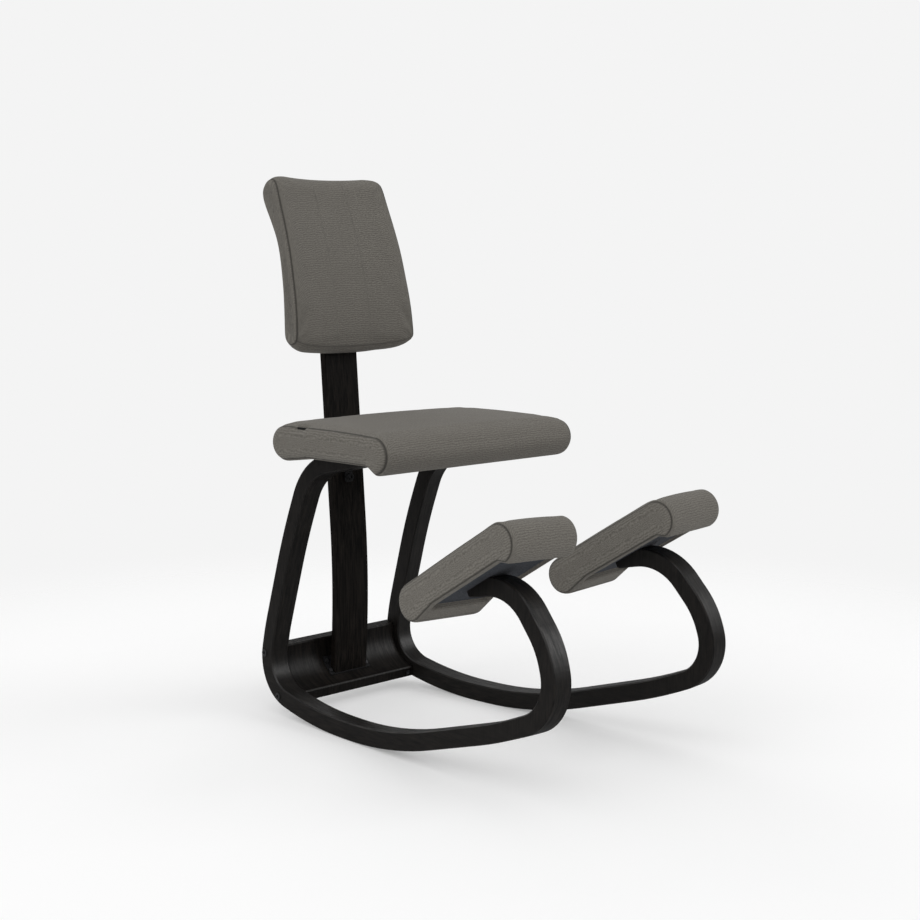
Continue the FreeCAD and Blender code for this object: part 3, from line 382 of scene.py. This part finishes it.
def pad_profile(form):
    """Outline of a pad from the rear, over the top, to the front and back underneath.

    The third value of a point is 1 where the underside lies in the liner's recess.
    """
    rear, front = form.rear_roll, form.front_roll
    outside = arc_points(form.rear_y, form.rear_z, rear, -90, 90, ROLL_COUNT)
    top = run_points((form.rear_y, form.rear_z + rear), (form.front_y, form.front_z + front), TOP_COUNT)
    for i, (y, z) in enumerate(top):
        share = i / TOP_COUNT
        outside.append((y, z + form.arch * 4 * share * (1 - share)))
    outside += arc_points(form.front_y, form.front_z, front, 90, 270, ROLL_COUNT)
    front_flat = (form.front_y + form.front_run, -form.hem)
    outside += run_points((form.front_y, form.front_low), front_flat, FRONT_COUNT)
    outside.append(front_flat)

    rear_flat = (form.rear_y - form.rear_run, -form.hem)
    recess_y = -2 * rear
    recess_z = form.rear_low + form.rear_drop / form.rear_run * (form.rear_y - recess_y)
    recess_end = (recess_y - RECESS_LIP, recess_z)
    recessed = run_points((front_flat[0] + RECESS_LIP, -form.hem), rear_flat, FLAT_COUNT)
    recessed += run_points(rear_flat, recess_end, SLOPE_COUNT)
    recessed.append(recess_end)

    underneath = run_points((recess_y, recess_z), (form.rear_y, form.rear_low), REAR_COUNT)
    parts = ((outside, 0), (recessed, 1), (underneath, 0))
    return [(y, z, in_recess) for points, in_recess in parts for y, z in points]


def inward(points):
    """Unit normals of a closed outline, pointing into it."""
    normals = []
    count = len(points)
    for i in range(count):
        before, after = points[i - 1], points[(i + 1) % count]
        along = Vector((after[0] - before[0], after[1] - before[1])).normalized()
        normals.append(Vector((-along.y, along.x)))
    return normals


def pad_row(form, x, inset, in_panel, crown):
    """One row of a pad at x. The rows in a side panel have no recess."""
    profile = pad_profile(form)
    middle = (form.rear_z + form.front_z) / 2
    row = []
    for (y, z, in_recess), normal in zip(profile, inward(profile)):
        if in_recess and not in_panel and abs(x) < form.half - form.margin:
            row.append(Vector((x, y, form.liner * RECESS_SINK)))
            continue
        z_inset = z + normal.y * inset
        height = share_of((z_inset - middle) / form.rear_roll)
        along = math.sin(math.pi * share_of(-y / form.depth))
        rise = crown * height * (END_CROWN + (1 - END_CROWN) * along)
        row.append(Vector((x, y + normal.x * inset, z_inset + rise)))
    return row


def across(half, band):
    """Distances from the middle to the seam, with the inset and crown share at each."""
    flat = half - band
    count = round(flat / STEP)
    stations = [(flat * i / count, 0.0, 1 - (i / count) ** 2) for i in range(count + 1)]
    stations += [(flat + band * share, DRAW_IN * share ** 3, 0.0) for share in EDGE_SHARES]
    stations.append((half - GROOVE_EDGE, DRAW_IN, 0.0))
    stations.append((half - GROOVE_FLOOR, DRAW_IN + GROOVE, 0.0))
    return stations


def panel(reach, bulge):
    """Insets and swells of the rows that close a side panel, from its seam inwards."""
    rows = []
    for inset in PANEL_INSETS:
        share = share_of(inset / reach)
        rows.append((DRAW_IN + inset, bulge * (1 - (1 - share) ** PANEL_DOME) - GROOVE_FLOOR))
    return rows


def both_sides(right):
    """Rows from the right rim to the middle, made into rows from the left rim to the right one."""
    return [(-place, *rest) for place, *rest in right] + right[-2::-1]


def build_skin(name, rows, near_seam, join_shade=0.0):
    """Closed mesh from rows of points, with its cloth and the attributes that the cloth reads.

    near_seam is the number of rows in a side panel, whose seam gets a line of painted shade, and the last
    argument is how dark the painted shade along the rows' first points is.
    """
    mesh = bpy.data.meshes.new(name)
    piece = bpy.data.objects.new(name, mesh)
    scene.collection.objects.link(piece)
    form = bmesh.new()
    seam_shade = form.verts.layers.float.new("seam_shade")
    weave = form.verts.layers.float_vector.new("weave")
    # painted shade on the rows round each side panel's seam, darkest on the groove's floor
    seam_shade_rows = {near_seam + offset: darkness for offset, darkness in SEAM_SHADE_LINE}
    grid = []
    for number, row in enumerate(rows):
        from_rim = min(number, len(rows) - 1 - number)
        darkness = seam_shade_rows.get(from_rim, 0.0)
        ring = [form.verts.new(point) for point in row]
        run = 0.0
        for i, vertex in enumerate(ring):
            run += (row[i] - row[max(i - 1, 0)]).length
            vertex[seam_shade] = darkness
            vertex[weave] = (row[i].y, row[i].z, 0) if from_rim < near_seam else (row[i].x, run, 0)
        # painted shade along the line of the rows' first points
        ring[0][seam_shade] = max(darkness, join_shade)
        grid.append(ring)
    count = len(grid[0])
    for first, second in zip(grid, grid[1:]):
        for i in range(count):
            j = (i + 1) % count
            form.faces.new((first[i], first[j], second[j], second[i]))
    caps = [form.faces.new(grid[0][::-1]), form.faces.new(grid[-1])]
    bmesh.ops.triangulate(form, faces=caps, quad_method="BEAUTY", ngon_method="BEAUTY")
    bmesh.ops.recalc_face_normals(form, faces=form.faces)
    for face in form.faces:
        face.smooth = True
    form.to_mesh(mesh)
    form.free()
    mesh.materials.append(CLOTH)
    return piece


def held_points(rows, near_seam, is_held):
    """Numbers of the points that stay put: those of the side panels, and those that is_held names."""
    held = []
    for number, row in enumerate(rows):
        in_panel = min(number, len(rows) - 1 - number) <= near_seam
        for i, point in enumerate(row):
            if in_panel or is_held(i, point):
                held.append(number * len(row) + i)
    return held


def puff(piece, held):
    """Let the cloth swell a little between the points that hold it."""
    group = piece.vertex_groups.new(name="held")
    group.add(held, 1.0, "REPLACE")
    cloth = piece.modifiers.new("Cloth", "CLOTH")
    settings = cloth.settings
    settings.quality = 6
    settings.mass = 0.3
    settings.tension_stiffness = 25
    settings.compression_stiffness = 25
    settings.bending_stiffness = 2
    settings.use_pressure = True
    settings.uniform_pressure_force = 4
    settings.effector_weights.gravity = 0
    settings.vertex_group_mass = "held"
    for number in range(1, SWELL_FRAMES + 1):
        scene.frame_set(number)
    swollen = piece.evaluated_get(bpy.context.evaluated_depsgraph_get())
    places = [vertex.co.copy() for vertex in swollen.data.vertices]
    piece.modifiers.remove(cloth)
    piece.vertex_groups.remove(group)
    for vertex, place in zip(piece.data.vertices, places):
        move = place - vertex.co
        if move.length > SWELL_LIMIT:
            move *= SWELL_LIMIT / move.length
        vertex.co += move
    scene.frame_set(1)


def finish_cushion(piece, node):
    """Refine a cushion and put it in the place of its plain solid."""
    refine = piece.modifiers.new("Subdivision", "SUBSURF")
    refine.levels = 1
    refine.render_levels = 1
    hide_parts(node)
    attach(piece, "root")


def make_pad(name, form, place, node):
    """Seat or knee cushion, built about its own frame and set in place."""
    sides = panel(EDGE_BAND, form.bulge)
    right = [(form.half + swell, inset, True, 0.0) for inset, swell in sides[::-1]]
    for x, inset, crown in across(form.half, EDGE_BAND)[::-1]:
        right.append((x, inset, False, crown * form.crown))
    rows = [pad_row(form, *entry) for entry in both_sides(right)]
    piece = build_skin(name, rows, len(sides))
    profile = pad_profile(form)
    puff(piece, held_points(rows, len(sides), lambda i, point: profile[i][1] < -form.hem / 2))
    piece.data.transform(place)
    finish_cushion(piece, node)
    return piece


def make_room(piece, node):
    """Press the cloth back where a small hard part sits in its seam."""
    low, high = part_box(node)
    border = 4 * MM
    for vertex in piece.data.vertices:
        place = vertex.co
        beside = low[1] - border < place.y < high[1] + border
        if beside and place.x < high[0] + 3 * MM and place.z > low[2] - border:
            place.x = max(place.x, low[0] + 1.8 * MM)
            place.z = min(place.z, high[2] - 1.2 * MM)


seat_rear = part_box("seat_cushion")[1][1]
seat_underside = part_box("seat_liner")[0][2]
seat_place = Matrix.Translation((0, seat_rear, seat_underside))
seat_cloth = make_pad("seat_cloth", SEAT, seat_place, "seat_cushion")
make_room(seat_cloth, "zip_slider")

# the right knee rest's frame: its rear nose, on the runner's flat
KNEE_REAR = Vector((-166.4, -103.5, 237.84)) * MM
SPLAY = math.radians(3.27)
LEAN = math.radians(1.83)
KNEE_TILT = math.radians(30.8)
knee_place = (
    Matrix.Translation(KNEE_REAR)
    @ Matrix.Rotation(-SPLAY, 4, "Z") @ Matrix.Rotation(LEAN, 4, "Y") @ Matrix.Rotation(-KNEE_TILT, 4, "X"))
flip = Matrix.Scale(-1, 4, (1, 0, 0))
make_pad("knee_cloth_right", KNEE, knee_place, "knee_cushion_right")
knee_left = make_pad("knee_cloth_left", KNEE, flip @ knee_place, "knee_cushion_left")
knee_left.data.flip_normals()


# Back cushion

ORIGIN_Y = 267.56 * MM  # heel line of the drawing
BACK_BOTTOM = 632.5 * MM
BACK_HEIGHT = 299 * MM
BACK_HALF_LOW = 134.5 * MM  # half width at the bottom
BACK_HALF_HIGH = 119.5 * MM  # and at the top
BACK_HOLLOW = 14 * MM  # how far the middle of the front lies behind its sides
BACK_REAR_BOW = 17 * MM  # the same at the rear
BACK_DIP = 6 * MM  # how far the middle of the upper edge lies below its ends
BACK_BOW = 9 * MM  # the same at the lower edge
BACK_BAND = 20 * MM
BACK_PANEL = 8 * MM  # depth of the side panels' swell, and the end of their rows
BACK_BULGE = 4 * MM
BACK_CORNER = 34 * MM  # width over which the upper and lower edges round off to the sides
CORNER_RISE = 8 * MM  # by how much the lower edge rises there
CORNER_DROP = 7 * MM  # by how much the upper edge drops there
CORNER_POWER = 8  # how near to the edge that stays
POST_HALF = 37 * MM
POST_GAP = 0.2 * MM
POST_FRONT = (11.8 * MM, 197.0 * MM)  # front of the post at its bend: from the heel line, and height
POST_SLOPE = math.tan(math.radians(4.3))
POST_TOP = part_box("back_post")[1][2]

# side outline: millimetres from the heel line, and height, up the front and down the rear
BACK_SIDE = [
    (-4, 650), (-3.2, 670), (-0.5, 698), (4.5, 727), (11, 756), (18.5, 788), (27.5, 818), (39, 850),
    (49, 876), (57.5, 900), (63, 915), (70, 926), (80.5, 931), (92, 927.5), (101, 919), (107, 905),
    (105, 889), (97, 872), (81, 846), (65, 817), (55, 788), (48, 756), (43, 727), (39, 690), (36, 655),
    (32, 641), (25, 633), (15, 629.5), (4, 632.5), (-2.5, 640),
]


def smooth_loop(points, per_span):
    """Points along a smooth closed curve through the given ones."""
    count = len(points)
    curve = []
    for i in range(count):
        a, b, c, d = [Vector(points[(i + k) % count]) for k in (-1, 0, 1, 2)]
        for step in range(per_span):
            t = step / per_span
            square = (2 * a - 5 * b + 4 * c - d) * t ** 2
            cube = (3 * b - a - 3 * c + d) * t ** 3
            curve.append(0.5 * (2 * b + (c - a) * t + square + cube))
    return curve


BACK_OUTLINE = smooth_loop(BACK_SIDE[::-1], 4)
BACK_NORMALS = inward(BACK_OUTLINE)


def back_row(share, inset, swell):
    """One row of the back cushion at a share of its half width."""
    middle = 1 - share * share
    row = []
    for point, normal in zip(BACK_OUTLINE, BACK_NORMALS):
        to_rear = -normal.x
        y = point.x * MM + normal.x * inset + ORIGIN_Y
        z = point.y * MM + normal.y * inset
        y += middle * (BACK_HOLLOW + (BACK_REAR_BOW - BACK_HOLLOW) * (0.5 + 0.5 * to_rear))
        rise = share_of((z - BACK_BOTTOM) / BACK_HEIGHT)
        z += middle * (-BACK_BOW * (1 - rise) ** 3 - BACK_DIP * rise ** 3)
        half = BACK_HALF_LOW + (BACK_HALF_HIGH - BACK_HALF_LOW) * rise
        corner = max(0, 1 - (1 - abs(share)) * half / BACK_CORNER) ** 2
        z += corner * (CORNER_RISE * (1 - rise) ** CORNER_POWER - CORNER_DROP * rise ** CORNER_POWER)
        x = share * half + math.copysign(swell, share)
        if abs(x) < POST_HALF and z < POST_TOP and to_rear > 0:
            post_front = ORIGIN_Y + POST_FRONT[0] + (z - POST_FRONT[1]) * POST_SLOPE
            y = min(y, post_front - POST_GAP)
        row.append(Vector((x, y, z)))
    return row


def by_post(number, point):
    """Whether a point of the back cushion lies in the channel over the post."""
    return abs(point.x) < POST_HALF + 8 * MM and point.y > ORIGIN_Y + 40 * MM and point.z < 0.8


def make_back():
    """Back cushion: hollow to the front, thick along its upper edge, let in over the post."""
    walls = [(POST_HALF - 0.5 * MM, 0.0, 0.0), (POST_HALF + 0.5 * MM, 0.0, 0.0)]
    stations = sorted(across(BACK_HALF_LOW, BACK_BAND) + walls)
    sides = [(inset, swell) for inset, swell in panel(BACK_PANEL, BACK_BULGE) if inset < DRAW_IN + BACK_PANEL]
    right = [(1.0, inset, swell) for inset, swell in sides[::-1]]
    right += [(x / BACK_HALF_LOW, inset, 0.0) for x, inset, _ in stations[::-1]]
    rows = [back_row(*entry) for entry in both_sides(right)]
    # the 0.5 paints a line of shade, half the full darkness, along the rows' first points at the lower front
    # edge
    piece = build_skin("back_cloth", rows, len(sides), 0.5)
    puff(piece, held_points(rows, len(sides), by_post))
    finish_cushion(piece, "back_cushion")


make_back()


# Studio: pale floor that fades into the backdrop, soft lamps, and the photograph's camera

BACKDROP = 0.905
FLOOR_TONE = 0.97
FLOOR_IN_GLOSS = 0.2  # its tone in the chair's reflections
FLOOR_LIFT = 0.3  # share of the backdrop's own colour that the camera sees in it
FLOOR_RADIUS = 3.2
FADE = {"From Min": 0.9, "From Max": 1.9}  # distances between which the floor fades out
WORLD_LIGHT = 0.56
WORLD_IN_GLOSS = 0.12
LAMPS = (  # name, direction it shines from, spread in degrees, power
    ("overhead", (-0.25, -0.1, 0.95), 80, 0.68),
    ("left_side", (-0.85, -0.1, 0.5), 50, 0.66),
    ("right_side", (0.62, -0.62, 0.47), 34, 0.7),
    ("rear", (0.25, 0.85, 0.42), 50, 0.5),
)
CAMERA_PLACE = (-1.8682, -1.8900, 0.7858)
CAMERA_AZIMUTH = math.radians(-44.5)
CAMERA_ELEVATION = math.radians(7.05)


def make_floor():
    """Round pale floor whose rim fades into the backdrop's colour."""
    form = bmesh.new()
    bmesh.ops.create_circle(form, cap_ends=True, radius=FLOOR_RADIUS, segments=96)
    mesh = bpy.data.meshes.new("floor")
    form.to_mesh(mesh)
    form.free()
    floor = bpy.data.objects.new("floor", mesh)
    scene.collection.objects.link(floor)
    material, tree, shader = new_material("studio_floor")
    output = next(node for node in tree.nodes if node.type == "OUTPUT_MATERIAL")
    rays = tree.nodes.new("ShaderNodeLightPath")
    tones = [(tone, tone, tone) for tone in (FLOOR_TONE, FLOOR_IN_GLOSS)]
    tree.links.new(mix_colour(tree, rays.outputs["Is Glossy Ray"], *tones), shader.inputs["Base Color"])
    set_inputs(shader, {"Roughness": 1.0, "Specular IOR Level": 0.0})
    glow = add_node(tree, "ShaderNodeEmission", {"Color": rgba(BACKDROP), "Strength": 1.0})
    lift = math_node(tree, "MULTIPLY", rays.outputs["Is Camera Ray"], FLOOR_LIFT)
    lifted = mix_shaders(tree, lift, shader.outputs["BSDF"], glow.outputs["Emission"])
    distance = add_node(tree, "ShaderNodeVectorMath", operation="LENGTH")
    tree.links.new(coordinates(tree), distance.inputs[0])
    fade = add_node(tree, "ShaderNodeMapRange", FADE, interpolation_type="SMOOTHSTEP")
    tree.links.new(distance.outputs["Value"], fade.inputs["Value"])
    clear = tree.nodes.new("ShaderNodeBsdfTransparent")
    surface = mix_shaders(tree, fade.outputs["Result"], lifted, clear.outputs["BSDF"])
    tree.links.new(surface, output.inputs["Surface"])
    mesh.materials.append(material)


def make_world():
    """Even pale light, dimmer in reflections, with the backdrop's own colour where the camera sees it."""
    world = bpy.data.worlds.new("studio")
    scene.world = world
    world.use_nodes = True
    tree = world.node_tree
    tree.nodes.clear()
    output = tree.nodes.new("ShaderNodeOutputWorld")
    rays = tree.nodes.new("ShaderNodeLightPath")
    glows = []
    for tone, strength in ((1, WORLD_LIGHT), (1, WORLD_IN_GLOSS), (BACKDROP, 1.0)):
        glow = add_node(tree, "ShaderNodeBackground", {"Color": rgba(tone), "Strength": strength})
        glows.append(glow.outputs["Background"])
    light, dim, seen = glows
    unseen = mix_shaders(tree, rays.outputs["Is Glossy Ray"], light, dim)
    surface = mix_shaders(tree, rays.outputs["Is Camera Ray"], unseen, seen)
    tree.links.new(surface, output.inputs["Surface"])


def add_lamp(name, direction, spread, power):
    """Soft distant lamp that shines from a direction."""
    data = bpy.data.lights.new(name, "SUN")
    data.angle = math.radians(spread)
    data.energy = power
    lamp = bpy.data.objects.new(name, data)
    lamp.location = Vector(direction) * 3
    lamp.rotation_euler = Vector(direction).to_track_quat("Z", "Y").to_euler()
    scene.collection.objects.link(lamp)


def make_camera():
    """The photograph's camera, fitted to the runners' edges."""
    data = bpy.data.cameras.new("camera")
    data.sensor_width = 36.0
    data.lens = 63.74
    camera = bpy.data.objects.new("camera", data)
    camera.location = CAMERA_PLACE
    camera.rotation_euler = (math.pi / 2 - CAMERA_ELEVATION, 0, CAMERA_AZIMUTH)
    scene.collection.objects.link(camera)
    scene.camera = camera


make_floor()
make_world()
for lamp_sizes in LAMPS:
    add_lamp(*lamp_sizes)
make_camera()
scene.view_settings.view_transform = "Standard"
